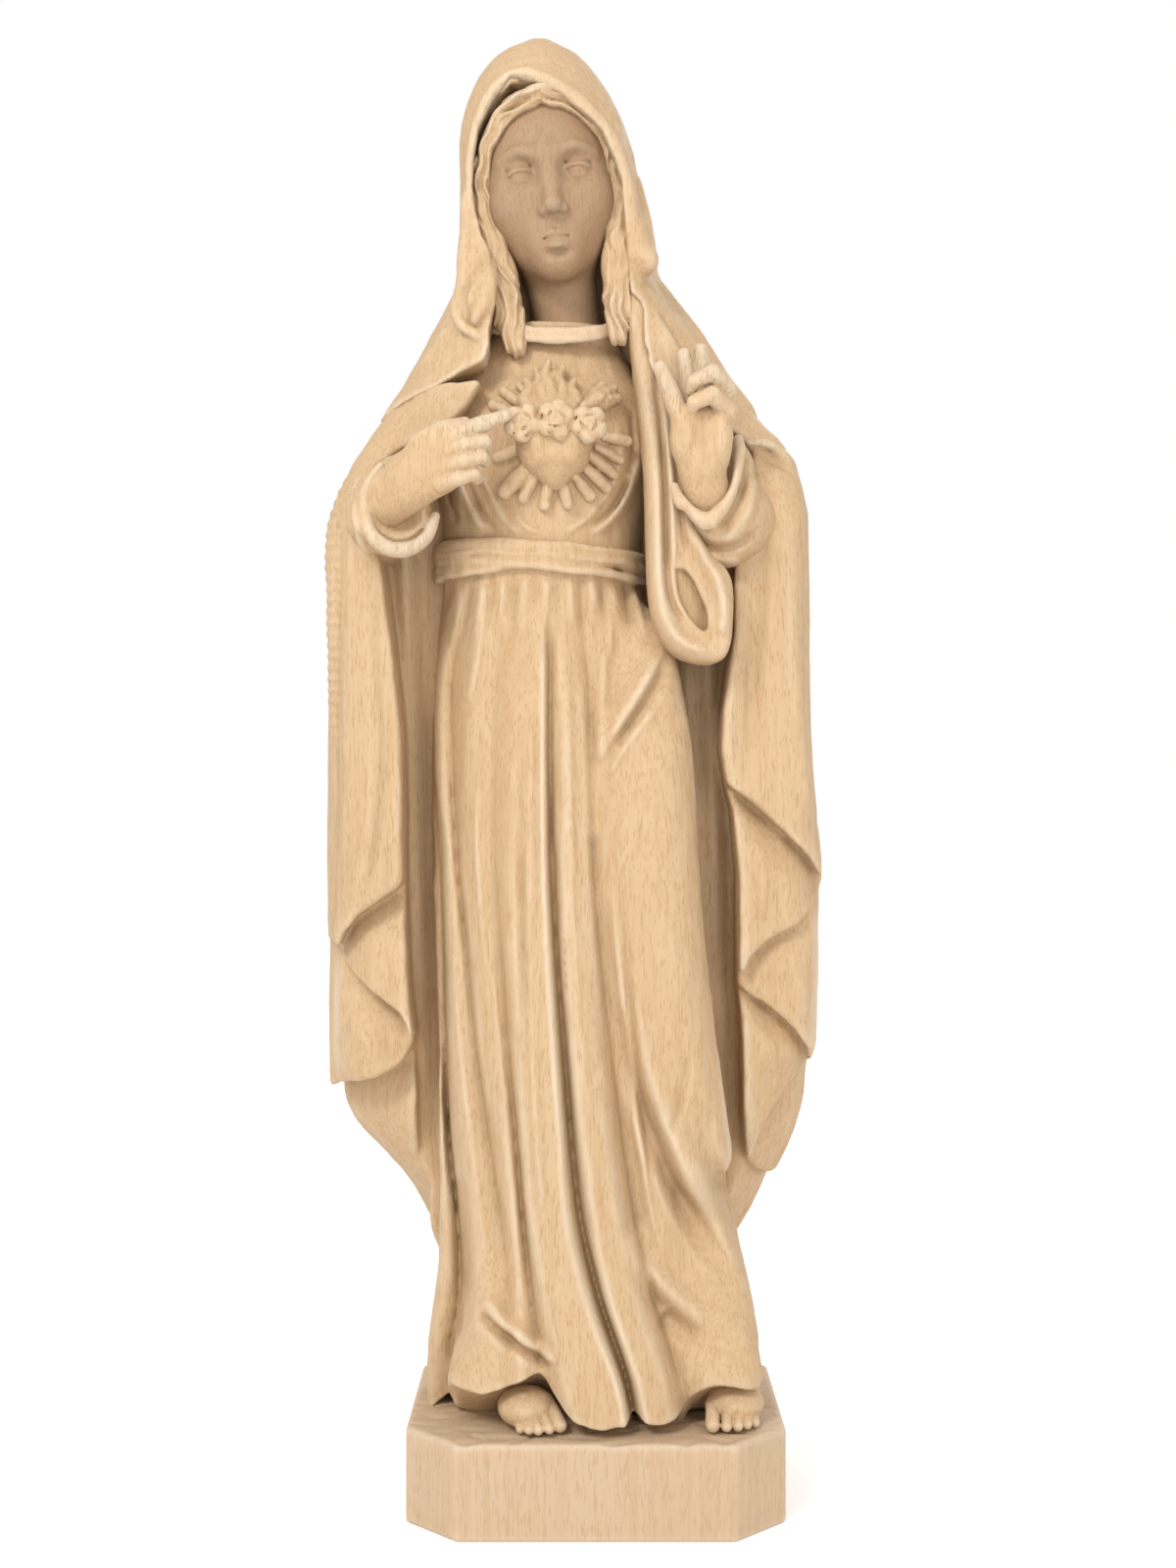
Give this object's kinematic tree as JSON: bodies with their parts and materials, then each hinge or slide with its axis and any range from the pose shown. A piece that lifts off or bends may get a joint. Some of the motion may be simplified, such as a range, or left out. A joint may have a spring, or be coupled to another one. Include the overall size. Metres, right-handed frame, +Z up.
{
  "type": "madonna statue",
  "caption": "Standing carved wooden Madonna in veil and mantle, hand raised, heart on the breast, on a plinth with cut corners.",
  "frame": {"origin": "middle of the plinth's flat underside", "axes": "+Z up along the figure, -Y towards the viewer, +X to the figure's left"},
  "size_m": [0.139, 0.084, 0.4],
  "materials": {
    "carved_wood": "unfinished, carved",
    "plinth_wood": "unfinished, planed",
    "peg_wood": "unfinished",
    "screw_steel": "zinc plated"
  },
  "bodies": {
    "root": {"plinth": "plinth_wood", "gown": "carved_wood", "sash": "carved_wood", "mantle_back": "carved_wood", "mantle_right": "carved_wood", "mantle_left": "carved_wood", "mantle_fall": "carved_wood", "veil": "carved_wood", "head": "carved_wood", "hair": "carved_wood", "right_hand": "carved_wood", "left_hand": "carved_wood", "right_sleeve": "carved_wood", "left_sleeve": "carved_wood", "heart": "carved_wood", "rose_wreath": "carved_wood", "flame": "carved_wood", "lily": "carved_wood", "heart_rays": "carved_wood", "right_foot": "carved_wood", "left_foot": "carved_wood", "plinth_dowels": "peg_wood", "neck_dowel": "peg_wood", "wrist_pegs": "peg_wood", "heart_peg": "peg_wood", "plinth_screws": "screw_steel"}
  },
  "joints": []
}
